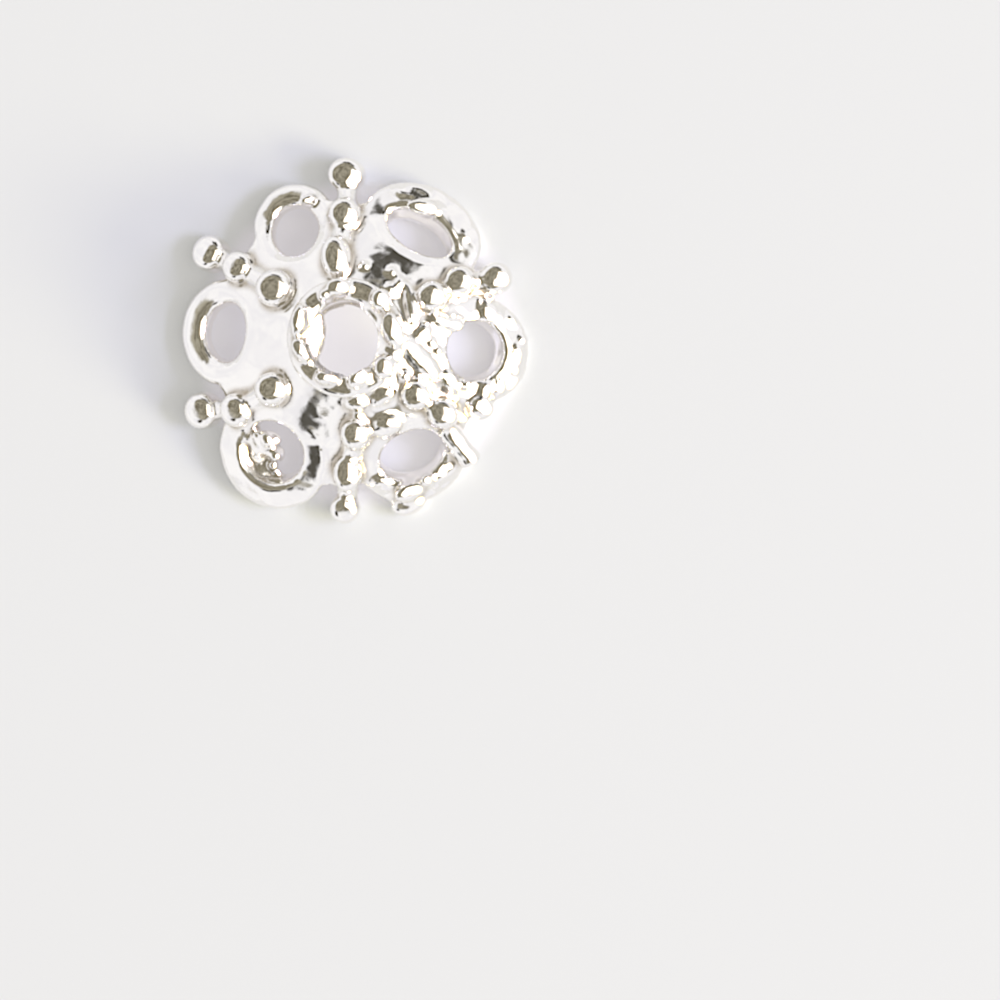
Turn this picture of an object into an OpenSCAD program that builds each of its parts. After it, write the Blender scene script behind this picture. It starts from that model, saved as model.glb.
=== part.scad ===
// Bead cap, cast in one piece and silver plated.
// A shallow dome that sits on the end of a round bead. Six pierced petals stand round a
// collared thread hole, with a rib of three granules in each gap between two petals.
// Millimetres. The origin is on the surface that the cap stands on, under the thread hole,
// and +Z points up through the hole.

/* [Dome] */
// Radius of the ball that the dome's outer face follows
dome_r = 6.45; // [6.3:0.05:7]
// Height of that face on the axis, over the surface that the cap stands on
dome_h = 2.51; // [2.45:0.01:2.55]
// Thickness of the cast wall
wall = 0.6; // [0.5:0.02:0.64]
// Reach of the wall from the axis, in the gaps between two petals
dome_reach = 4.05; // [3.8:0.05:4.2]

/* [Thread hole] */
// Width of the hole that the thread or the head pin goes through
hole_d = 2; // [1:0.05:2.1]
// Width of the lowest of the steps that the mould's core leaves under the hole
core_d = 3; // [2.6:0.1:3.2]
// Height of one of these steps
core_step_h = 0.09; // [0.05:0.01:0.12]

/* [Collar] */
// Width of the collar along the middle of its rod
collar_d = 2.5; // [2.44:0.02:2.52]
// Thickness of the collar's rod
collar_rod = 0.56; // [0.54:0.02:0.6]
// Height of the rod's middle over the dome's face
collar_lift = 0.4; // [0.24:0.02:0.44]
// Number of lobes round the collar, like the turns of a rope
lobes = 9; // [6:1:10]
// Thickness of one lobe
lobe_d = 0.64; // [0.58:0.02:0.72]

/* [Petals] */
// Thickness of the round rim rod of a petal
rim_rod = 0.68; // [0.64:0.02:0.76]

/* [Granules] */
// How far a granule's middle stands over the dome's face
granule_lift = 0.06; // [0:0.02:0.15]
// How much wider the outermost granule of a rib is than the other two
outer_swell = 1.08; // [1:0.02:1.15]
// Thickness of the rod that carries the outermost granule
rib_rod = 0.5; // [0.46:0.02:0.6]
// How far the rod's middle lies under the granules' middles
rib_drop = 0.24; // [0.2:0.02:0.28]

/* [Gate] */
// Thickness of the stub that is left where the metal ran into the mould
gate_d = 0.66; // [0.5:0.02:0.8]
// Length of that stub
gate_l = 1.25; // [0.9:0.05:1.4]
// Angle of the stub round the axis
gate_angle = 318; // [314:1:322]
// Distance of its inner end from the axis
gate_reach = 3.62; // [3.4:0.02:3.8]
// How far it leans aside from the line out of the axis
gate_lean = -14; // [-20:1:0]

/* [Hidden] */
// Steps round a full turn, for the dome, for rings and holes, and for small round pieces
dome_fn = 128;
round_fn = 64;
small_fn = 32;
// Past a face, so that no cut ends on it
past = 1;

// The cast isn't even, so each petal and each rib has its own row.
// Columns: angle round the axis, reach of the opening's middle, width along the rim rod's middle,
// and how much flatter than the dome the petal's ring lies, in degrees, about its inner end
ANGLE = 0;
REACH = 1;
RIM_D = 2;
FLATTER = 3;
PETALS = [
    [-4, 3.29, 2.45, -4],
    [58.5, 3.51, 2.56, 2],
    [117.5, 3.62, 2.12, 0],
    [175, 3.56, 2.36, 1],
    [233.5, 3.61, 2.8, 7],
    [298, 3.37, 2.5, -2]];

// Columns: angle of the inner granule, how far the outer one leans round the axis, reach of
// the inner, middle and outer granule, and their width. A reach of 0 leaves the granule out.
LEAN = 1;
REACHES = 2;
GRANULE_D = 5;
RIBS = [
    [95, -2, 2.36, 3.54, 4.68, 0.94],
    [144, 4.5, 2.5, 3.78, 4.8, 0.98],
    [212, -9, 2.46, 3.7, 4.7, 0.94],
    [275, -9, 2.56, 3.6, 4.58, 0.86],
    [322, 0, 2.42, 3.26, 0, 0.86],
    [28, -4, 2.64, 3.46, 4.32, 0.88]];

// Small lumps that the casting left. Columns: angle round the axis, reach, width
LUMP_D = 2;
LUMPS = [
    [-27, 4, 0.84],
    [-78, 1.76, 0.6],
    [46, 1.92, 0.5],
    [-52, 1.86, 0.54]];

dome_z = dome_h - dome_r;
inner_r = dome_r - wall;
middle_r = dome_r - wall / 2;
collar_z = face_z(collar_d / 2) + collar_lift;
core_steps = 3;
hub_d = collar_d + collar_rod / 2;
hub_foot = face_z(0) - wall / 2;
// First lobe's angle round the axis
lobe_turn = 4;
// How far the wall reaches into a rim rod, out of the rod's middle
wall_in_rod = 0.1 * rim_rod;

// Height of the dome's outer face at a distance from the axis
function face_z(reach) = dome_z + sqrt(dome_r ^ 2 - reach ^ 2);

// Distance of a petal's flat ring from the dome's centre, with its rod in mid wall
function ring_r(rim_d) = sqrt(middle_r ^ 2 - (rim_d / 2) ^ 2);

// Place at an angle and a distance from the axis, on a ball of radius r about the dome's centre
function on_ball_at(r, angle, reach) =
    [reach * cos(angle), reach * sin(angle), dome_z + sqrt(r ^ 2 - reach ^ 2)];

// Angle of granule i of a rib, of which only the outer two lean
function granule_angle(rib, i) = rib[ANGLE] + rib[LEAN] * (i / 2) ^ 2;

// Puts its children on a ball of radius r about the dome's centre, turned to stand out of it
module on_ball(r, angle, reach) {
    translate([0, 0, dome_z])
        rotate([0, asin(reach / r), angle])
            translate([0, 0, r])
                children();
}

module at_petal(petal) {
    on_ball(ring_r(petal[RIM_D]), petal[ANGLE], petal[REACH])
        translate([-petal[RIM_D] / 2, 0, 0])
            rotate([0, -petal[FLATTER], 0])
                translate([petal[RIM_D] / 2, 0, 0])
                    children();
}

module dome() {
    color("silver")
        difference() {
            translate([0, 0, dome_z])
                sphere(r = dome_r, $fn = dome_fn);
            translate([0, 0, dome_z])
                sphere(r = inner_r, $fn = dome_fn);
            difference() {
                translate([0, 0, dome_z - dome_r - past])
                    cylinder(r = dome_r + past, h = 2 * dome_r + 2 * past, $fn = round_fn);
                cylinder(r = dome_reach, h = dome_h + past, $fn = round_fn);
            }
        }
}

module petal_openings() {
    for (petal = PETALS)
        at_petal(petal)
            cylinder(d = petal[RIM_D] - 2 * wall_in_rod, h = 2 * rim_rod, center = true, $fn = round_fn);
}

module petal_rims() {
    color("silver")
        for (petal = PETALS)
            at_petal(petal)
                rotate_extrude($fn = round_fn)
                    translate([petal[RIM_D] / 2, 0])
                        circle(d = rim_rod, $fn = small_fn);
}

module granule(angle, reach, width) {
    on_ball(dome_r + granule_lift, angle, reach)
        sphere(d = width, $fn = small_fn);
}

// Round rod from one point to another
module rod(from, to, width) {
    way = to - from;
    translate(from)
        rotate([0, acos(way.z / norm(way)), atan2(way.y, way.x)])
            cylinder(d = width, h = norm(way), $fn = small_fn);
}

module granule_ribs() {
    rod_ball = dome_r + granule_lift - rib_drop;
    color("silver")
        for (rib = RIBS, i = [0:2])
            if (rib[REACHES + i] > 0) {
                angle = granule_angle(rib, i);
                granule(angle, rib[REACHES + i], rib[GRANULE_D] * (i == 2 ? outer_swell : 1));
                if (i == 2)
                    rod(
                        on_ball_at(rod_ball, granule_angle(rib, i - 1), rib[REACHES + i - 1]),
                        on_ball_at(rod_ball, angle, rib[REACHES + i]),
                        rib_rod);
            }
}

module casting_lumps() {
    color("silver")
        for (lump = LUMPS)
            granule(lump[ANGLE], lump[REACH], lump[LUMP_D]);
}

module collar() {
    color("silver") {
        translate([0, 0, hub_foot])
            cylinder(d = hub_d, h = collar_z - hub_foot, $fn = round_fn);
        translate([0, 0, collar_z])
            rotate_extrude($fn = round_fn)
                translate([collar_d / 2, 0])
                    circle(d = collar_rod, $fn = small_fn);
        for (i = [0:lobes - 1])
            rotate([0, 0, lobe_turn + i * 360 / lobes])
                translate([collar_d / 2, 0, collar_z])
                    sphere(d = lobe_d, $fn = small_fn);
    }
}

module gate_stub() {
    color("silver")
        on_ball(dome_r, gate_angle, gate_reach)
            rotate([0, 90 + asin(gate_l / 2 / dome_r), gate_lean])
                cylinder(d = gate_d, h = gate_l, $fn = small_fn);
}

module thread_hole() {
    cylinder(d = hole_d, h = dome_h + past + lobe_d, $fn = round_fn);
    for (i = [0:core_steps - 1])
        cylinder(
            d = core_d - (core_d - hole_d) * i / core_steps,
            h = dome_z + inner_r + core_step_h * (i + 1),
            $fn = round_fn);
}

module below_the_surface() {
    translate([-dome_r, -dome_r, -dome_r])
        cube([2 * dome_r, 2 * dome_r, dome_r]);
}

module bead_cap() {
    color("silver")
        difference() {
            union() {
                difference() {
                    dome();
                    petal_openings();
                }
                petal_rims();
                granule_ribs();
                casting_lumps();
                collar();
                gate_stub();
            }
            thread_hole();
            below_the_surface();
        }
}

bead_cap();
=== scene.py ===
# A bead cap: a shallow openwork dome, cast in one piece and silver plated, that sits on the end of
# a round bead. It lies as it would by itself, standing on its six petals on a pale surface.
import math

import bpy
import numpy as np
from mathutils import Matrix, Vector


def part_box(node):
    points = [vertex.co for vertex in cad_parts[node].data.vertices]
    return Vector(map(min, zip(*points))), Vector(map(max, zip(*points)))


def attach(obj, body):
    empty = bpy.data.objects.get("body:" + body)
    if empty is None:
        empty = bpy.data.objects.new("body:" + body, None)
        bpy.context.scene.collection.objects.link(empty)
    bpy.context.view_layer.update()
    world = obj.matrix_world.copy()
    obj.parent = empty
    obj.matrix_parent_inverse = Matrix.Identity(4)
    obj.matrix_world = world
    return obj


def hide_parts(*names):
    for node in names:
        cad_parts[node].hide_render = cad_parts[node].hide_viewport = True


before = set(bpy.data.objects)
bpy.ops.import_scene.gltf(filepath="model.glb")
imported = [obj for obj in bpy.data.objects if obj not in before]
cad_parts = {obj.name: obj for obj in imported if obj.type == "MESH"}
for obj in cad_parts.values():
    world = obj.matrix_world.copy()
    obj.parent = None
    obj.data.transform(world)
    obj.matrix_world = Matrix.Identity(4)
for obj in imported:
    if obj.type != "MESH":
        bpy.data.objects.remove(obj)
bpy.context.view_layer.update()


# The dome and its petals
# A thin wall of cast zinc alloy, arched to a point so that it hugs a round bead. Six openings are
# cast through it, from the collar to the ribs. Each has a round rim rod in one piece with the wall,
# whose outer half stands free. Sizes are in millimetres, and reach is distance from the axis.
MM = 0.001
CAP_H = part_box("bead_cap")[1].z / MM
ARCH_R = 12.7
ARCH_PAST_AXIS = 3.57
SHOULDER_REACH = 1.6
SHOULDER_H = 2.31
WALL = 0.6
# Columns: angle and reach of the opening's middle, its half width along the rim and out of the axis,
# radius of the rim rod, how far the petal's outer end is raised over the dome's form, so that all
# six stand on the surface, how far the rod's flat top is level, from 0 for one that follows the
# slope to 1, how square the rod is, from 2 for a round one, and how much thicker its outer side is
ANGLE, REACH, HALF_ALONG, HALF_OUT, ROD_R, RAISED, LEVEL, SQUARE, SWELL = range(9)
PETALS = np.array([
    [-4.0, 3.52, 1.20, 1.22, 0.37, 0.07, 0.0, 6.0, 0.045],
    [58.5, 3.68, 1.42, 0.96, 0.39, 0.10, 0.0, 6.0, 0.10],
    [117.5, 3.65, 0.98, 1.18, 0.30, 0.20, 0.6, 3.0, 0.045],
    [175.0, 3.73, 1.19, 1.15, 0.36, 0.20, 0.6, 3.0, 0.045],
    [233.5, 3.74, 1.27, 1.27, 0.39, 0.40, 0.0, 6.0, 0.045],
    [298.0, 3.62, 1.30, 1.10, 0.35, 0.06, 0.0, 6.0, 0.045]])
# Angles of the ribs on both sides of each petal in turn
RIB_ANGLES = np.array([-38.0, 27.0, 94.0, 146.0, 210.0, 273.0, 322.0])
# Reach of the wall's inner and outer edge, and how far two petals' walls lap at a rib, in degrees
WALL_REACH = 1.3, 4.05
WALL_LAP = 3.0
# Where the wall's edge is less than this times as far out as the oval, the wall ends at the oval
LEAST_WALL = 1.05
# Height of a rim rod's flat top over its middle, as a share of its radius
RIM_FLAT = 0.85
# Fall of a petal's face for a millimetre aside, and the reach where its raise begins and is whole
CROWN = 0.06
RAISED_FROM = 2.0
RAISED_AT = 4.7
TINY = 1e-9
UP = np.array([0.0, 0, 1])
casting = []


def on_dome(reach, angle, proud=0.0):
    """Point that stands `proud` over the dome's outer face. The face is an arc whose centre lies
    past the axis, so its lean has the sine of reach plus that distance, over the arc's radius. The
    point's own reach then grows by proud times that sine, and its height by proud times the cosine."""
    reach, angle = np.broadcast_arrays(reach, np.radians(angle))
    lean = np.arcsin((reach + ARCH_PAST_AXIS) / ARCH_R)
    foot = SHOULDER_H - math.sqrt(ARCH_R**2 - (SHOULDER_REACH + ARCH_PAST_AXIS) ** 2)
    out = reach + proud * np.sin(lean)
    height = foot + (ARCH_R + proud) * np.cos(lean)
    return np.stack([out * np.cos(angle), out * np.sin(angle), height], -1)


def slope_frame(reach, angle):
    """Three directions at a place on the dome: along the rim, down the slope out of the axis, and
    straight out of the face."""
    lean, angle = math.asin((reach + ARCH_PAST_AXIS) / ARCH_R), math.radians(angle)
    c, s = math.cos(angle), math.sin(angle)
    along = np.array([s, -c, 0])
    out = np.array([c * math.cos(lean), s * math.cos(lean), -math.sin(lean)])
    normal = np.array([c * math.sin(lean), s * math.sin(lean), math.cos(lean)])
    return along, out, normal


def polar(points):
    """Reach and angle in degrees of points: the length of their flat part, and its arctangent."""
    x, y = points[..., 0], points[..., 1]
    return np.hypot(x, y), np.degrees(np.arctan2(y, x))


def unit(vectors):
    """Each vector divided by its own length."""
    return vectors / np.linalg.norm(vectors, axis=-1, keepdims=True)


def squared_circle(turn, square, flat=1.0):
    """Radius, at each part of a turn, of a circle of radius 1 with flattened sides and top: its
    cosine, and its sine over `flat`, each raised to `square`, add up to one over the radius raised
    to the same."""
    return (np.abs(np.cos(turn)) ** square + np.abs(np.sin(turn) / flat) ** square) ** (-1 / square)


def add_skin(grid, ring=False):
    """Adds a grid of points to the casting as quads. Columns always go round, and on a ring the
    rows go round too."""
    rows, columns = grid.shape[:2]
    start = sum(len(points) for points, _ in casting)
    index = start + np.arange(rows * columns).reshape(rows, columns)
    below = np.roll(index, -1, 0) if ring else index[1:]
    above = index if ring else index[:-1]
    quads = np.stack([above, np.roll(above, -1, 1), np.roll(below, -1, 1), below], -1)
    casting.append((grid.reshape(-1, 3), quads.reshape(-1, 4)))


def add_rod(path, radius, across, sides=32, ring=False):
    """Carries a circle along a path of points. At each point the circle lies across the path, with
    a radius for the whole rod, for that row, or for each of its sides, counted from `across`. The
    ends of an open rod are flat."""
    along = np.roll(path, -1, 0) - np.roll(path, 1, 0) if ring else np.gradient(path, axis=0)
    side = unit(np.cross(along, across))[:, None]
    top = unit(np.cross(side[:, 0], along))[:, None]
    turn = np.linspace(0, 2 * np.pi, sides, endpoint=False)[:, None]
    radius = np.broadcast_to(radius, (len(path), sides))[..., None]
    tube = path[:, None] + radius * (side * np.cos(turn) + top * np.sin(turn))
    if not ring:
        ends = np.broadcast_to(path[[0, -1], None], (2, sides, 3))
        tube = np.concatenate([ends[:1], tube, ends[1:]])
    add_skin(tube, ring)


def on_petal(petal, reach, angle, proud=0.0):
    """Point on a petal's own face, which is crowned across: it lies under the dome's face by CROWN
    times the square of the way along the rim from the petal's middle line. The face also rises over
    the dome's, with the square of the way out past RAISED_FROM."""
    aside = reach * np.radians((angle - petal[ANGLE] + 180) % 360 - 180)
    past = np.maximum((reach - RAISED_FROM) / (RAISED_AT - RAISED_FROM), 0)
    return on_dome(reach, angle, proud - CROWN * aside**2 + petal[RAISED] * past**2)


def petal_oval(petal, turn):
    """Reach and angle of the points of a petal's oval. It is flat on the slope: half widths times
    the cosine and sine of the turn, along the rim and out of the axis."""
    along, out, _ = slope_frame(petal[REACH], petal[ANGLE])
    turn = turn[:, None]
    return polar(on_dome(petal[REACH], petal[ANGLE]) + petal[HALF_ALONG] * np.cos(turn) * along
                 + petal[HALF_OUT] * np.sin(turn) * out)


def add_wall(petal, rib_before, rib_after, steps=16, turns=144):
    """Wall round one opening: a closed band between the opening's oval and the edge of the petal's
    sixth of the dome, blended from one to the other in the plane, once on the outer face and once a
    wall's thickness under it. Where the oval passes that edge, the band has no width."""
    angle, reach = petal[ANGLE], petal[REACH]
    turn = np.linspace(0, 2 * np.pi, turns, endpoint=False)
    c, s = np.cos(turn), np.sin(turn)
    oval = on_dome(*petal_oval(petal, turn))[:, :2]
    to_side = np.radians(np.where(c < 0, rib_after - angle, angle - rib_before) + WALL_LAP) * reach
    to_end = np.where(s > 0, WALL_REACH[1] - reach, reach - WALL_REACH[0])
    far = np.minimum(to_side / np.maximum(np.abs(c), TINY), to_end / np.maximum(np.abs(s), TINY))
    edge = on_dome(reach + far * s, angle - np.degrees(far * c / reach))[:, :2]
    middle = on_dome(reach, angle)[:2]
    wider = np.linalg.norm(edge - middle, axis=1) > LEAST_WALL * np.linalg.norm(oval - middle, axis=1)
    edge = np.where(wider[:, None], edge, oval)
    share = np.linspace(0, 1, steps)[:, None, None]
    flat = polar(oval * (1 - share) + edge * share)
    outer, inner = on_petal(petal, *flat), on_petal(petal, *flat, proud=-WALL)
    add_skin(np.concatenate([outer, inner[::-1]]), ring=True)


def add_rim(petal, turns=96, sides=32):
    """Rim rod, a squared circle carried round the opening's oval in mid wall. Its radius grows with
    the sine of the turn, toward the outer side. What it counts as its top lies between the way out
    of the dome's face and straight up, as far as the petal's row says."""
    turn = np.linspace(0, 2 * np.pi, turns, endpoint=False)
    reach, angle = petal_oval(petal, turn)
    path = on_petal(petal, reach, angle, proud=-WALL / 2)
    side = np.linspace(0, 2 * np.pi, sides, endpoint=False)
    radius = petal[ROD_R] + petal[SWELL] * np.sin(turn)[:, None]
    out_of_face = on_dome(reach, angle, 1.0) - on_dome(reach, angle)
    across = petal[LEVEL] * UP + (1 - petal[LEVEL]) * out_of_face
    add_rod(path, radius * squared_circle(side, petal[SQUARE], RIM_FLAT), across, sides, ring=True)


for petal, rib_before, rib_after in zip(PETALS, RIB_ANGLES[:-1], RIB_ANGLES[1:]):
    add_wall(petal, rib_before, rib_after)
    add_rim(petal)


# Granule ribs
# In each gap between two petals, three balls of metal run down the dome on a low rib. They are cast
# with it and nearly touch. The outermost is the largest, and hangs out past the wall. The polish has
# flattened their tops.
# Columns: angle, reach, half width out of the axis and along the rim, and how far its top is level,
# from 0 for one that follows the slope to 1
GRANULES = np.array([
    [97.0, 2.31, 0.62, 0.42, 0.9], [93.0, 3.54, 0.46, 0.45, 0.9], [93.4, 4.68, 0.49, 0.53, 0.9],
    [143.8, 2.47, 0.55, 0.54, 0.9], [146.7, 3.80, 0.47, 0.46, 0.4], [148.6, 4.83, 0.53, 0.53, 0.4],
    [212.0, 2.44, 0.50, 0.48, 0.9], [209.9, 3.71, 0.47, 0.48, 0.4], [203.2, 4.70, 0.53, 0.53, 0.5],
    [275.3, 2.54, 0.46, 0.41, 0.9], [268.5, 3.60, 0.55, 0.40, 0.9], [266.2, 4.58, 0.42, 0.42, 0.5],
    [322.2, 2.42, 0.42, 0.43, 1.0], [322.6, 3.26, 0.45, 0.44, 1.0],
    [27.6, 2.64, 0.44, 0.43, 1.0], [28.8, 3.46, 0.44, 0.43, 1.0], [24.0, 4.32, 0.47, 0.46, 0.95]])
GRANULE_LIFT = 0.06
GRANULE_SQUARE = 3.1
# Half height of a granule, as a share of its mean half width
GRANULE_H = 0.87
# The tops also lean a little to the lower right, toward this angle
GRANULE_LEAN = math.radians(6.5)
LEAN_TOWARD = math.radians(-22)
RIB_R = 0.3
RIB_DROP = 0.22
RIB_STEPS = 16


def add_ball(place, along, out, up, square=2.0, rows=24, columns=32):
    """Ball of metal, with a flattened top if `square` is over two: rows and columns of a ball, whose
    sine and cosine are both raised to two over it, stretched by three half widths given as vectors."""
    fall = np.linspace(0, np.pi, rows)[:, None, None]
    turn = np.linspace(0, 2 * np.pi, columns, endpoint=False)[None, :, None]
    wide = np.abs(np.sin(fall)) ** (2 / square)
    high = np.sign(np.cos(fall)) * np.abs(np.cos(fall)) ** (2 / square)
    add_skin(place + high * up + wide * (np.cos(turn) * along + np.sin(turn) * out))


def leaning(way, lean):
    """A direction, which falls by its part toward LEAN_TOWARD times the tangent of the lean."""
    toward_lean = way[0] * math.cos(LEAN_TOWARD) + way[1] * math.sin(LEAN_TOWARD)
    return way - math.tan(lean) * toward_lean * UP


def add_granule(reach, angle, half_out, half_along, level=0.6, proud=GRANULE_LIFT):
    """Granule on the dome: a ball with a flattened top, whose half width out of the axis loses
    `level` of its fall, and which stands square to that."""
    along, out, _ = slope_frame(reach, angle)
    half_up = GRANULE_H * (half_out + half_along) / 2
    out = unit(out * [1, 1, 1 - level])
    up = np.cross(out, along)
    along, out = leaning(along, GRANULE_LEAN), leaning(out, GRANULE_LEAN)
    add_ball(on_dome(reach, angle, proud), half_along * along, half_out * out, half_up * up,
             GRANULE_SQUARE)


def add_rib(first, last):
    """Low rib between two granules: a rod whose angle and reach go evenly from one to the other."""
    share = np.linspace(0, 1, RIB_STEPS)
    angle = first[ANGLE] + (last[ANGLE] - first[ANGLE]) * share
    reach = first[REACH] + (last[REACH] - first[REACH]) * share
    path = on_dome(reach, angle, GRANULE_LIFT - RIB_DROP)
    middle = RIB_STEPS // 2
    add_rod(path, RIB_R, slope_frame(reach[middle], angle[middle])[2])


for angle, reach, half_out, half_along, level in GRANULES:
    add_granule(reach, angle, half_out, half_along, level)
for inner, outer in zip(GRANULES[:-1], GRANULES[1:]):
    if outer[REACH] > inner[REACH]:
        add_rib(inner, outer)


# Gate stub
# The metal ran into the mould at the end of the lower right rib. The caster cut the gate off there,
# which leaves a short rod with a flat end in place of the outermost granule.
STUB_R = 0.33
STUB_L = 1.25
STUB_ANGLE = 318.0
STUB_REACH = 3.62
STUB_SUNK = 0.14
STUB_STEPS = 8
# Lean of the stub along the rim, and how far it is raised from the slope
STUB_LEAN = math.radians(14)
STUB_RAISED = math.radians(13)
stub_along, stub_out, stub_normal = slope_frame(STUB_REACH, STUB_ANGLE)
stub_way = math.cos(STUB_LEAN) * stub_out + math.sin(STUB_LEAN) * stub_along
stub_way = math.cos(STUB_RAISED) * stub_way + math.sin(STUB_RAISED) * stub_normal
stub_from = on_dome(STUB_REACH, STUB_ANGLE, -STUB_SUNK)
add_rod(stub_from + np.linspace(0, STUB_L, STUB_STEPS)[:, None] * stub_way, STUB_R, stub_normal)


# Collar
# A level ring round the thread hole, cast on a plain hub that is bored through. Nine short fat pads
# lie on it like the turns of a rope. Under the hub the mould's core leaves three low steps, and where
# it didn't quite seal, flash narrows the left half of the hole. The right half is bored clear.
RING_MIDDLE = 0.08, 0.08
RING_R = 1.33
RING_HALF_W = 0.34
RING_HALF_H = 0.2
RING_Z = CAP_H - 0.5
RING_SQUARE = 2.4
RING_SIDES = 32
# Columns: place to the right and away, half length, half width, angle that the pad lies at
PADS = np.array([
    [-0.05, 1.46, 0.35, 0.27, 0], [-0.43, 1.24, 0.18, 0.18, 0], [1.12, 1.10, 0.34, 0.29, 100],
    [1.47, 0.26, 0.52, 0.28, 107], [1.22, -0.76, 0.34, 0.28, 80], [0.50, -1.02, 0.38, 0.25, 45],
    [-0.38, -1.02, 0.36, 0.23, -5], [-1.11, -0.28, 0.38, 0.22, 118], [-1.18, 0.54, 0.48, 0.21, 80]])
PAD_HALF_H = 0.26
PAD_Z = CAP_H - 0.27
PAD_SQUARE = 2.6
PAD_LEAN = math.radians(21)
# Ledges of flash. Columns: angle and reach of the middle, height, half widths out of the axis and
# along the hole's edge, lean toward the axis
FLASH = np.array([[172.0, 0.88, 2.48, 0.42, 0.76, 36.0], [38.0, 1.02, 2.52, 0.26, 0.5, 34.0],
                  [-8.0, 0.98, 2.50, 0.26, 0.5, 34.0]])
FLASH_HALF_H = 0.18
LIP_R = 0.92
# The hub's section, from the lip of flash over the top, down the outside and back up the core's
# steps. Columns: reach, height
HUB = np.array([
    [LIP_R, 2.36], [1.15, 2.53], [1.2, RING_Z], [1.4, RING_Z], [1.4, 1.8], [1.5, 1.8], [1.5, 2.0],
    [1.333, 2.0], [1.333, 2.09], [1.167, 2.09], [1.167, 2.18], [LIP_R, 2.18]])


def add_pad(place, half_length, half_width, half_height, angle):
    """Flat-topped blob: a squared ball whose length lies at an angle. Its length and its width both
    fall toward LEAN_TOWARD by PAD_LEAN, so its top leans to the lower right."""
    c, s = math.cos(math.radians(angle)), math.sin(math.radians(angle))
    along, out = (leaning(v, PAD_LEAN) for v in (np.array([c, s, 0]), np.array([-s, c, 0])))
    add_ball(np.array(place), half_length * along, half_width * out, half_height * UP, PAD_SQUARE)


def add_turned(reach, height, middle=(0.0, 0.0), turns=128):
    """Closed section turned round an upright line: reach times the cosine and sine of the turn."""
    turn = np.linspace(0, 2 * np.pi, turns, endpoint=False)
    add_skin(np.stack([
        middle[0] + reach[:, None] * np.cos(turn), middle[1] + reach[:, None] * np.sin(turn),
        np.repeat(height[:, None], turns, 1)], -1), ring=True)


for right, away, half_length, half_width, angle in PADS:
    add_pad((right, away, PAD_Z), half_length, half_width, PAD_HALF_H, angle)
# The ring's section runs clockwise, as the hub's does
side = -np.linspace(0, 2 * np.pi, RING_SIDES, endpoint=False)
ring_r = squared_circle(side, RING_SQUARE)
add_turned(RING_R + RING_HALF_W * ring_r * np.cos(side), RING_Z + RING_HALF_H * ring_r * np.sin(side),
           RING_MIDDLE, turns=96)
for angle, reach, height, half_out, half_along, lean in FLASH:
    way = np.array([math.cos(math.radians(angle)), math.sin(math.radians(angle)), 0])
    c, s = math.cos(math.radians(lean)), math.sin(math.radians(lean))
    add_ball(reach * way + height * UP, half_along * np.cross(UP, way), half_out * (c * way + s * UP),
             FLASH_HALF_H * (c * UP - s * way), PAD_SQUARE)
add_turned(*HUB.T)


# Casting lumps
# Small balls, blobs and blisters that air in the mould left in the metal, most of them right of the
# collar, where it filled last. They are one with the casting, and the barrel polish has rounded them
# but not taken them off.
# Balls. Columns: angle, reach, half width out of the axis and along the rim
LUMPS = np.array([
    [-27.0, 4.05, 0.38, 0.38], [-72.0, 4.75, 0.32, 0.52], [48.0, 1.92, 0.20, 0.22],
    [-52.0, 1.86, 0.26, 0.26], [-78.0, 1.76, 0.26, 0.28], [66.0, 4.55, 0.25, 0.55]])
LUMP_SUNK = 0.1
# Blobs where the metal met. Columns: place to the right and away, half length, half width, angle
# that the blob lies at
BLOBS = np.array([
    [1.80, 1.04, 0.62, 0.18, 95], [2.54, 0.60, 0.30, 0.18, -20], [2.96, 0.49, 0.33, 0.22, 0],
    [2.35, -0.05, 0.14, 0.14, 0], [2.51, -0.27, 0.10, 0.10, 0], [2.07, -0.49, 0.80, 0.30, -43],
    [2.83, -1.13, 0.36, 0.22, -50], [3.25, -1.18, 0.12, 0.12, 0], [1.64, -0.96, 0.15, 0.15, 0],
    [1.96, -1.04, 0.12, 0.12, 0], [0.29, -1.73, 0.34, 0.24, 0], [0.92, -1.65, 0.20, 0.22, 0],
    [0.31, -2.09, 0.14, 0.14, 0], [1.08, -2.34, 0.44, 0.34, 10], [1.47, 1.62, 0.20, 0.16, 60],
    [0.50, 2.09, 0.14, 0.11, 0], [1.25, 1.92, 0.14, 0.14, 0], [2.15, 0.25, 0.30, 0.20, 40]])
# Height of a blob as a share of its half width, and the least height
BLOB_H = 0.5
BLOB_LEAST_H = 0.11
# Flat-topped blobs on the rims. Columns: place to the right, away and up, half length, half width,
# half height, angle that the blob lies at
RIM_PADS = [[1.98, 3.74, 1.03, 0.46, 0.24, 0.20, -8], [-1.28, 3.98, 0.95, 0.24, 0.17, 0.16, 20],
            [1.55, -4.15, 0.75, 0.42, 0.24, 0.20, 25], [2.05, -3.85, 0.85, 0.18, 0.16, 0.16, 60]]
# Petals with blisters on the outer part of their rims, within these turns of the oval. A blister's
# length and height are shares of its half width
BLISTERED = 0, 1, 5
BLISTERS_EACH = 9
BLISTER_TURNS = 0.05 * np.pi, 0.95 * np.pi
BLISTER_ASIDE = 0.15
BLISTER_HALF = 0.12, 0.24
BLISTER_LONG = 1.0, 1.7
BLISTER_H = 0.6
# Sponge in the lower left opening, between these places to the right and away
SPONGE_RIGHT = -3.05, -2.2
SPONGE_AWAY = -3.7, -2.6
SPONGE_BALLS = 60
SPONGE_HALF = 0.09, 0.16
SPONGE_LONG = 1.0, 1.8
SPONGE_DEEP = 0.35

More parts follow.
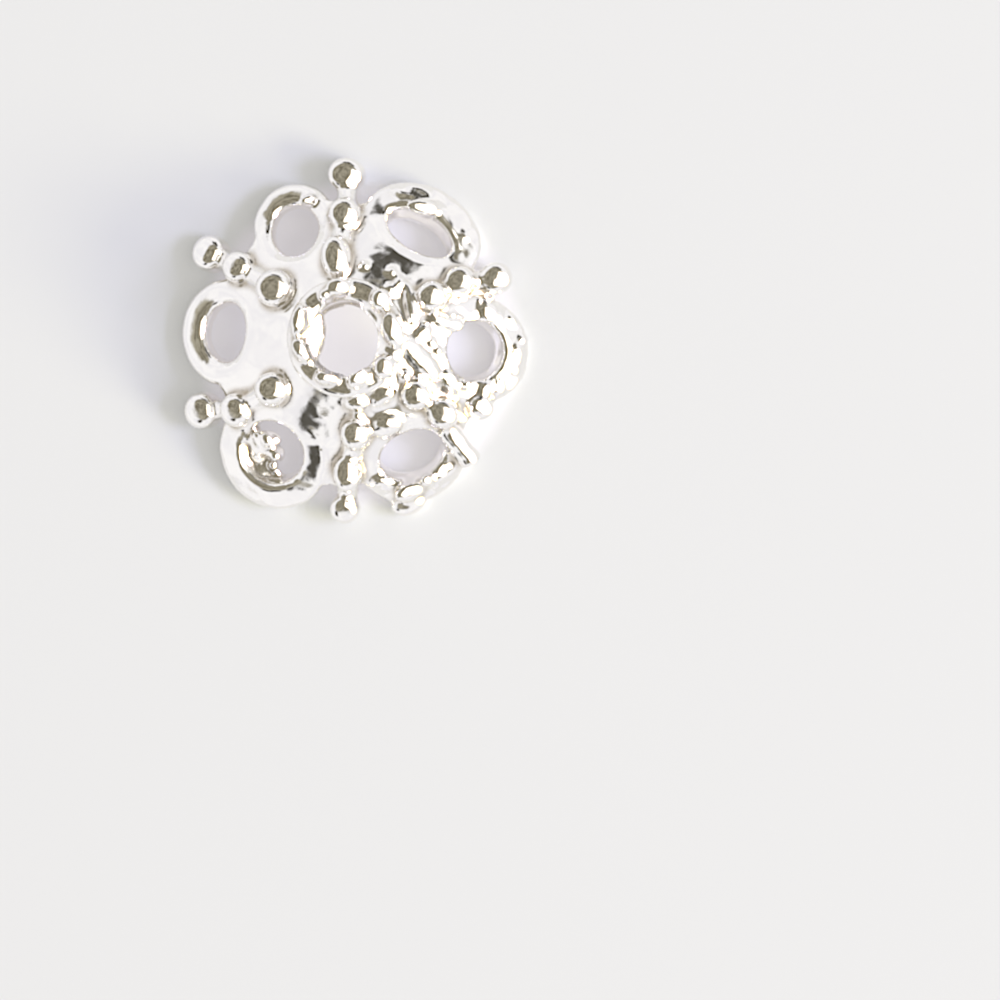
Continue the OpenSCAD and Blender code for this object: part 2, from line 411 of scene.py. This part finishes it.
for angle, reach, half_out, half_along in LUMPS:
    add_granule(reach, angle, half_out, half_along, proud=-LUMP_SUNK)
for right, away, half_length, half_width, angle in BLOBS:
    place = polar(np.array([right, away]))
    normal = slope_frame(*place)[2]
    c, s = math.cos(math.radians(angle)), math.sin(math.radians(angle))
    long_way, wide_way = (unit(v - np.dot(v, normal) * normal) for v in (
        np.array([c, s, 0]), np.array([-s, c, 0])))
    add_ball(on_dome(*place), half_length * long_way, half_width * wide_way,
             max(BLOB_H * half_width, BLOB_LEAST_H) * normal)
for *place, half_length, half_width, half_height, angle in RIM_PADS:
    add_pad(place, half_length, half_width, half_height, angle)
draw = np.random.default_rng(4)
for petal in PETALS[list(BLISTERED)]:
    rim_top = petal[ROD_R] * RIM_FLAT - WALL / 2
    for turn in draw.uniform(*BLISTER_TURNS, BLISTERS_EACH):
        reach, angle = petal_oval(petal, np.array([turn]))
        place = on_petal(petal, reach + draw.uniform(-BLISTER_ASIDE, BLISTER_ASIDE), angle, rim_top)[0]
        half = draw.uniform(*BLISTER_HALF)
        along, out, normal = slope_frame(reach[0], angle[0])
        add_ball(place, half * draw.uniform(*BLISTER_LONG) * along, half * out, BLISTER_H * half * normal)
for _ in range(SPONGE_BALLS):
    reach, angle = polar(np.array([draw.uniform(*SPONGE_RIGHT), draw.uniform(*SPONGE_AWAY)]))
    half = draw.uniform(*SPONGE_HALF)
    add_granule(reach, angle, half, half * draw.uniform(*SPONGE_LONG),
                proud=draw.uniform(-SPONGE_DEEP, 0.0))


# The casting
# Molten zinc alloy fills the mould, so every form above runs into the next with a small soft
# fillet, and the skin comes out uneven, most so at the lower right. The barrel polish keeps the high
# spots smooth, and the thread hole is bored clear.
HOLE_R = 1.0
# Height from which the hole is bored clear, in its left and its right half
BORED_LEFT = 2.6
BORED_RIGHT = 2.1
VOXEL = 0.056
FILLET_PASSES = 9
# Bend of the skin, over a millimetre, from which it counts as hollow, and from which fully so
HOLLOW_FROM = 1.5
HOLLOW_FULL = 5.0
HOLLOW_PASSES = 3
# How uneven the skin is, from the upper left to the lower right. It grows from ROUGH_FROM on, over
# ROUGH_WIDTH, with the way to the right, and ROUGH_NEARER times as fast with the way nearer
ROUGH_LEFT = 0.42
ROUGH_RIGHT = 0.8
ROUGH_NEARER = 0.5
ROUGH_FROM = -0.3
ROUGH_WIDTH = 2.2
# On a granule only this share of that is left. It goes back to the whole between two distances from
# the granule's middle, in its half widths
ROUGH_ON_GRANULE = 0.55
GRANULE_EDGE = 0.8, 1.4
# Bumps of the skin. Columns: width, height
BUMPS = [[0.8, 0.034], [0.4, 0.024], [0.2, 0.014]]


def mesh_of(name, points, faces):
    """Mesh with these points and faces, smooth shaded."""
    mesh = bpy.data.meshes.new(name)
    mesh.from_pydata(points.tolist(), [], faces.tolist())
    mesh.polygons.foreach_set("use_smooth", np.ones(len(mesh.polygons), bool))
    mesh.update()
    return mesh


def show(name, data):
    """Puts an object with this data at the origin of the scene."""
    shown = bpy.data.objects.new(name, data)
    bpy.context.scene.collection.objects.link(shown)
    return shown


def noise(points, grain, seed, size=64, shift=0.37):
    """Smooth noise from -1 to 1 with bumps about `grain` millimetres across: a random value at each
    corner of a cubic lattice, blended between the eight corners round each point with three times
    the square of the way less twice its cube. The lattice is shifted by a part of its grain, so that
    none of its planes lies on the cap's middle."""
    values = np.random.default_rng(seed).uniform(-1, 1, (size,) * 3)
    place = points / grain + shift
    cell = np.floor(place).astype(int)
    part = place - cell
    part = part * part * (3 - 2 * part)
    total = np.zeros(len(points))
    for corner in np.ndindex(2, 2, 2):
        weight = np.prod(np.where(corner, part, 1 - part), 1)
        total += weight * values[tuple(((cell + corner) % size).T)]
    return total


loose = show("loose_forms", mesh_of(
    "loose_forms", np.vstack([p for p, _ in casting]), np.vstack([f for _, f in casting])))
fuse = loose.modifiers.new("fuse", "REMESH")
fuse.mode = "VOXEL"
fuse.voxel_size = VOXEL
fuse.use_smooth_shade = True
soften = loose.modifiers.new("soften", "SMOOTH")
soften.factor = 0.5
soften.iterations = FILLET_PASSES
cast_mesh = bpy.data.meshes.new_from_object(
    loose.evaluated_get(bpy.context.evaluated_depsgraph_get()))
bpy.data.objects.remove(loose)

count = len(cast_mesh.vertices)
points, normals = np.empty(count * 3), np.empty(count * 3)
cast_mesh.vertices.foreach_get("co", points)
cast_mesh.vertex_normals.foreach_get("vector", normals)
points, normals = points.reshape(-1, 3), normals.reshape(-1, 3)
edges = np.empty(2 * len(cast_mesh.edges), int)
cast_mesh.edges.foreach_get("vertices", edges)
near_end = np.concatenate([edges[::2], edges[1::2]])
far_end = np.concatenate([edges[1::2], edges[::2]])


def neighbours_mean(values):
    """Mean of the values at the points that share an edge with each point."""
    neighbours = np.maximum(np.bincount(near_end, minlength=count), 1)
    return np.bincount(near_end, values[far_end], count) / neighbours


# The bend is four times the distance, along the normal, from a point to the middle of its
# neighbours, over the square of their spacing
middles = np.stack([neighbours_mean(points[:, axis]) for axis in range(3)], -1)
bend = 4 * np.sum((middles - points) * normals, 1) / VOXEL**2
hollow = np.clip((bend - HOLLOW_FROM) / (HOLLOW_FULL - HOLLOW_FROM), 0, 1)
for _ in range(HOLLOW_PASSES):
    hollow = neighbours_mean(hollow)
lower_right = (points[:, 0] - ROUGH_NEARER * points[:, 1] - ROUGH_FROM) / ROUGH_WIDTH
rough = ROUGH_LEFT + (ROUGH_RIGHT - ROUGH_LEFT) * np.clip(lower_right, 0, 1)
for angle, reach, _, half_along, _ in GRANULES:
    off = np.linalg.norm(points - on_dome(reach, angle, GRANULE_LIFT), axis=1) / half_along
    past_edge = (off - GRANULE_EDGE[0]) / (GRANULE_EDGE[1] - GRANULE_EDGE[0])
    rough *= np.clip(past_edge, ROUGH_ON_GRANULE, 1)
lift = rough * sum(height * noise(points, width, seed)
                   for seed, (width, height) in enumerate(BUMPS, start=1))
points = points + normals * lift[:, None]
from_axis = np.hypot(points[:, 0], points[:, 1])
bored_from = np.where(points[:, 0] < 0, BORED_LEFT, BORED_RIGHT)
in_bore = (from_axis < HOLE_R) & (points[:, 2] > bored_from)
points[in_bore, :2] *= (HOLE_R / from_axis[in_bore])[:, None]
points[:, 2] = np.clip(points[:, 2], 0, CAP_H)
cast_mesh.vertices.foreach_set("co", (points * MM).ravel())
cast_mesh.update()
cast_mesh.attributes.new("hollow", "FLOAT", "POINT").data.foreach_set("value", hollow)
cap = show("cast_cap", cast_mesh)
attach(cap, "root")
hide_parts("bead_cap")


# Silver plate
# Bright silver, electroplated over the cast skin and barrel polished. The high spots are a mirror,
# a little unevenly so, with the fine grain of the casting. The polish doesn't reach into the hollows,
# which stay matt. There the colour is also darkened to a brownish grey, as painted shade.
SILVER = "#FCFAF7"
# Brownish grey painted into the hollows and creases as shade, blended in by the hollow mask
PAINTED_HOLLOW_SHADE = "#B9AD99"
POLISHED = 0.09
MATT = 0.42
# Size of the better and worse polished patches, and their roughness as shares of POLISHED
PATCH_MM = 0.9
PATCH_POLISH = 0.7, 1.8
GRAIN_MM = 0.14
GRAIN_H_MM = 0.0022
DETAIL = 2.0


def linear(code):
    """Linear colour of an sRGB hex code."""
    parts = [int(code[i:i + 2], 16) / 255 for i in (1, 3, 5)]
    return tuple(c / 12.92 if c <= 0.04045 else ((c + 0.055) / 1.055) ** 2.4 for c in parts) + (1.0,)


def add_node(tree, kind, settings=(), inputs=(), **links):
    """Adds a node, sets its properties and its inputs' values, and links inputs from sockets."""
    node = tree.nodes.new(kind)
    for key, value in dict(settings).items():
        setattr(node, key, value)
    for key, value in dict(inputs).items():
        node.inputs[key].default_value = value
    for key, socket in links.items():
        tree.links.new(socket, node.inputs[key.replace("_", " ")])
    return node


def join(tree, node, pictures):
    """Gives a node's inputs, by number, each a socket or a value."""
    for number, picture in pictures.items():
        if isinstance(picture, (tuple, float)):
            node.inputs[number].default_value = picture
        else:
            tree.links.new(picture, node.inputs[number])


def blend(tree, share, first, second):
    """Blends two colours, each a socket or a value, from the first at 0 to the second at 1. They
    are inputs 6 and 7 of a Mix node."""
    mix = add_node(tree, "ShaderNodeMix", {"data_type": "RGBA"}, Factor=share)
    join(tree, mix, {6: first, 7: second})
    return mix.outputs[2]


silver = bpy.data.materials.new("silver_plate_on_zinc_casting")
silver.use_nodes = True
tree = silver.node_tree
plate = tree.nodes["Principled BSDF"]
plate.inputs["Metallic"].default_value = 1.0
place = add_node(tree, "ShaderNodeTexCoord").outputs["Object"]
in_hollow = add_node(tree, "ShaderNodeAttribute", {"attribute_name": "hollow"}).outputs["Fac"]
# The base colour goes from silver to the painted shade where the skin is hollow
tree.links.new(blend(tree, in_hollow, linear(SILVER), linear(PAINTED_HOLLOW_SHADE)), plate.inputs["Base Color"])
patches = add_node(tree, "ShaderNodeTexNoise", {}, {"Scale": 1 / (PATCH_MM * MM), "Detail": DETAIL},
                   Vector=place)
uneven = add_node(tree, "ShaderNodeMapRange", {}, {
    "To Min": PATCH_POLISH[0] * POLISHED, "To Max": PATCH_POLISH[1] * POLISHED},
    Value=patches.outputs["Fac"])
# The numbers that a Mix node blends are its inputs 2 and 3
dull = add_node(tree, "ShaderNodeMix", {"data_type": "FLOAT"}, Factor=in_hollow)
join(tree, dull, {2: uneven.outputs["Result"], 3: MATT})
tree.links.new(dull.outputs[0], plate.inputs["Roughness"])
grain = add_node(tree, "ShaderNodeTexNoise", {}, {"Scale": 1 / (GRAIN_MM * MM), "Detail": DETAIL},
                 Vector=place)
skin = add_node(tree, "ShaderNodeBump", {}, {"Distance": GRAIN_H_MM * MM}, Height=grain.outputs["Fac"])
tree.links.new(skin.outputs["Normal"], plate.inputs["Normal"])
cast_mesh.materials.clear()
cast_mesh.materials.append(silver)


# The pale surface
# A sheet of pale matt paper that the cap lies on. Its glow stands for the light that the tent's walls
# throw on it. Under the cap it is stronger, where the silver of the dome's inside throws light down.
SHEET = "#ADADAD"
ROUGH_PAPER = 0.9
GLOW = "#8D8D8B"
DOME_GLOW = "#A6A2A6"
MIDDLE_GLOW = "#C8C4C8"
# Reaches between which the glow falls from MIDDLE_GLOW to DOME_GLOW, and from there to GLOW
MIDDLE_REACH = 1.2, 3.4
DOME_REACH = 4.2, 4.8
SHEET_HALF = 1.0


def soft_step(tree, value, low, high):
    """Step from 0 at low to 1 at high, which rises as three times the share's square less twice its
    cube."""
    step = add_node(tree, "ShaderNodeMapRange", {"interpolation_type": "SMOOTHSTEP"},
                    {"From Min": low, "From Max": high}, Value=value)
    return step.outputs["Result"]


corners = SHEET_HALF * np.array([[-1.0, -1, 0], [1, -1, 0], [1, 1, 0], [-1, 1, 0]])
floor = show("floor", mesh_of("floor", corners, np.array([[0, 1, 2, 3]])))
paper = bpy.data.materials.new("pale_matt_paper")
paper.use_nodes = True
tree = paper.node_tree
sheet = tree.nodes["Principled BSDF"]
sheet.inputs["Base Color"].default_value = linear(SHEET)
sheet.inputs["Roughness"].default_value = ROUGH_PAPER
sheet.inputs["Specular IOR Level"].default_value = 0.0
sheet.inputs["Emission Strength"].default_value = 1.0
where = add_node(tree, "ShaderNodeTexCoord").outputs["Object"]
off = add_node(tree, "ShaderNodeVectorMath", {"operation": "LENGTH"}, Vector=where).outputs["Value"]
near_middle, near_dome = (soft_step(tree, off, far * MM, near * MM)
                          for near, far in (MIDDLE_REACH, DOME_REACH))
under = blend(tree, near_middle, linear(DOME_GLOW), linear(MIDDLE_GLOW))
tree.links.new(blend(tree, near_dome, linear(GLOW), under), sheet.inputs["Emission Color"])
floor.data.materials.append(paper)


# The light
# A white cloth tent stands round the cap, lit from the right through a wide softbox, a cool window
# and a low warm one. The tent is open at the top, where the camera looks in, so the level tops of the
# silver mirror the dim room there. A few gaps in its side are dark.
LAMPS_AWAY = 1.0
# Columns: name, angles from straight up and round from +X, width, height, watts, colour
LAMPS = [["softbox", 35, -13, 0.92, 0.80, 3.8, "#FFFFFF"],
         ["window", 56, -6, 0.36, 0.24, 8.2, "#D0D2FF"],
         ["low_window", 70, -22, 0.36, 0.22, 9.8, "#FFFBC8"]]
TENT = "#FFFEFF"
TENT_FOLD = "#F3F2F6"
ROOM = "#AFA998"
ROOM_CLUTTER = "#6C6656"
GAP = "#4E4B44"
# Angles from straight up between which the room gives way to the tent
OPENING = 44.0, 50.0
# Columns: angles from straight up and round from +X of the middle, half width
GAPS = [[56.5, 239.0, 9.0], [56.5, 73.0, 10.0], [55.5, 91.0, 7.0], [54.5, 56.0, 6.5]]
GAP_EDGE = 3.0
# Folds of the cloth and clutter of the room: number of them round about, detail
FOLDS = 3.0, 3.0
CLUTTER = 9.0, 4.0
# Part of the noise over which one colour gives way to the other
NOISE_EDGES = 0.35, 0.65


def toward(from_zenith, azimuth):
    """Direction at an angle from straight up, turned round from +X, both in degrees: the first
    one's sine times the cosine and the sine of the second, and the first one's cosine."""
    a, b = math.radians(from_zenith), math.radians(azimuth)
    return Vector((math.sin(a) * math.cos(b), math.sin(a) * math.sin(b), math.cos(a)))


for name, from_zenith, azimuth, width, height, watts, colour in LAMPS:
    lamp = bpy.data.lights.new(name, "AREA")
    lamp.shape = "RECTANGLE"
    lamp.size, lamp.size_y = width, height
    lamp.energy = watts
    lamp.color = linear(colour)[:3]
    holder = show(name, lamp)
    way = toward(from_zenith, azimuth)
    holder.location = way * LAMPS_AWAY
    holder.rotation_mode = "QUATERNION"
    holder.rotation_quaternion = way.to_track_quat("Z", "Y")

world = bpy.data.worlds.new("white_tent")
bpy.context.scene.world = world
world.use_nodes = True
tree = world.node_tree
sky = tree.nodes["Background"]
way = add_node(tree, "ShaderNodeTexCoord").outputs["Generated"]


def part_along(direction):
    """How far the way points along a direction: the cosine of the angle between them."""
    dot = add_node(tree, "ShaderNodeVectorMath", {"operation": "DOT_PRODUCT"}, {1: tuple(direction)})
    tree.links.new(way, dot.inputs[0])
    return dot.outputs["Value"]


def within(direction, inner, outer):
    """Soft step from 1 at the inner angle from a direction, in degrees, to 0 at the outer one."""
    return soft_step(tree, part_along(direction), *(math.cos(math.radians(a)) for a in (outer, inner)))


def mottled(first, second, size, detail):
    """Two colours in soft patches: one gives way to the other over the middle of a noise."""
    patches = add_node(tree, "ShaderNodeTexNoise", {}, {"Scale": size, "Detail": detail}, Vector=way)
    return blend(tree, soft_step(tree, patches.outputs["Fac"], *NOISE_EDGES), linear(first), linear(second))


surroundings = blend(tree, within((0, 0, 1), *OPENING),
                     mottled(TENT, TENT_FOLD, *FOLDS), mottled(ROOM, ROOM_CLUTTER, *CLUTTER))
for from_zenith, azimuth, half in GAPS:
    in_gap = within(toward(from_zenith, azimuth), half - GAP_EDGE, half + GAP_EDGE)
    surroundings = blend(tree, in_gap, surroundings, linear(GAP))
tree.links.new(surroundings, sky.inputs["Color"])
sky.inputs["Strength"].default_value = 1.0


# Camera
# It looks down almost along the thread hole, a little from the right and from far off through a
# long lens. The cap lies up and to the left of the middle of the frame.
FRAME_PX = 1000
PX_PER_MM = 36.4
HUB_PX = 340, 340
LOOK_FROM_RIGHT = math.radians(8.2)
LOOK_FROM_NEAR = math.radians(0.2)
CAMERA_FAR = 140.0
SENSOR = 36.0
# Nearest and farthest that the camera sees, in metres
SEES = 0.01, 10.0

camera = bpy.data.cameras.new("camera")
camera.sensor_width = SENSOR
camera.lens = PX_PER_MM * CAMERA_FAR * SENSOR / FRAME_PX
camera.clip_start, camera.clip_end = SEES
back = Vector((math.sin(LOOK_FROM_RIGHT), -math.sin(LOOK_FROM_NEAR), 0))
back.z = math.sqrt(1 - back.length_squared)
right = Vector((0, 1, 0)).cross(back).normalized()
up = back.cross(right)
hub_top = Vector((0, 0, CAP_H))
place = (hub_top + back * CAMERA_FAR
         + right * (FRAME_PX / 2 - HUB_PX[0]) / PX_PER_MM
         - up * (FRAME_PX / 2 - HUB_PX[1]) / PX_PER_MM) * MM
holder = show("camera", camera)
holder.matrix_world = Matrix.Translation(place) @ Matrix((right, up, back)).transposed().to_4x4()
scene = bpy.context.scene
scene.camera = holder
scene.view_settings.view_transform = "Standard"


# The picture
# The lens is a little soft, and light that is burnt out spills past its edge as a warm fringe. The
# camera then sharpens the picture, which leaves a thin light line along dark edges.
SOFT_PX = 2
SPILL_MOST = 1.5
SPILL_PX = 3
FRINGE = "#FFE2B8"
BRIGHTEST = 1.15
SHARPEN = 0.85
SHARPEN_PX = 3

scene.use_nodes = True
tree = scene.node_tree
tree.nodes.clear()


def grey(level):
    """Grey of this level."""
    return (level, level, level, 1.0)


def layer(kind, under, over):
    """Lays one picture over another by a mix of this kind, each a socket or a colour."""
    mix = add_node(tree, "CompositorNodeMixRGB", {"blend_type": kind}, {0: 1.0})
    join(tree, mix, {1: under, 2: over})
    return mix.outputs["Image"]


def blurred(picture, size):
    """Picture blurred over this many pixels by a bell curve."""
    blur = add_node(tree, "CompositorNodeBlur", {
        "filter_type": "GAUSS", "size_x": size, "size_y": size}, Image=picture)
    return blur.outputs["Image"]


shot = blurred(add_node(tree, "CompositorNodeRLayers").outputs["Image"], SOFT_PX)
burnt = layer("LIGHTEN", layer("SUBTRACT", shot, grey(1.0)), grey(0.0))
spill = blurred(layer("DARKEN", burnt, grey(SPILL_MOST)), SPILL_PX)
spilt = layer("ADD", shot, layer("MULTIPLY", spill, linear(FRINGE)))
clear = layer("DARKEN", spilt, grey(BRIGHTEST))
edges = layer("SUBTRACT", layer("MULTIPLY", clear, grey(SHARPEN)),
              layer("MULTIPLY", blurred(clear, SHARPEN_PX), grey(SHARPEN)))
add_node(tree, "CompositorNodeComposite", Image=layer("ADD", clear, edges))
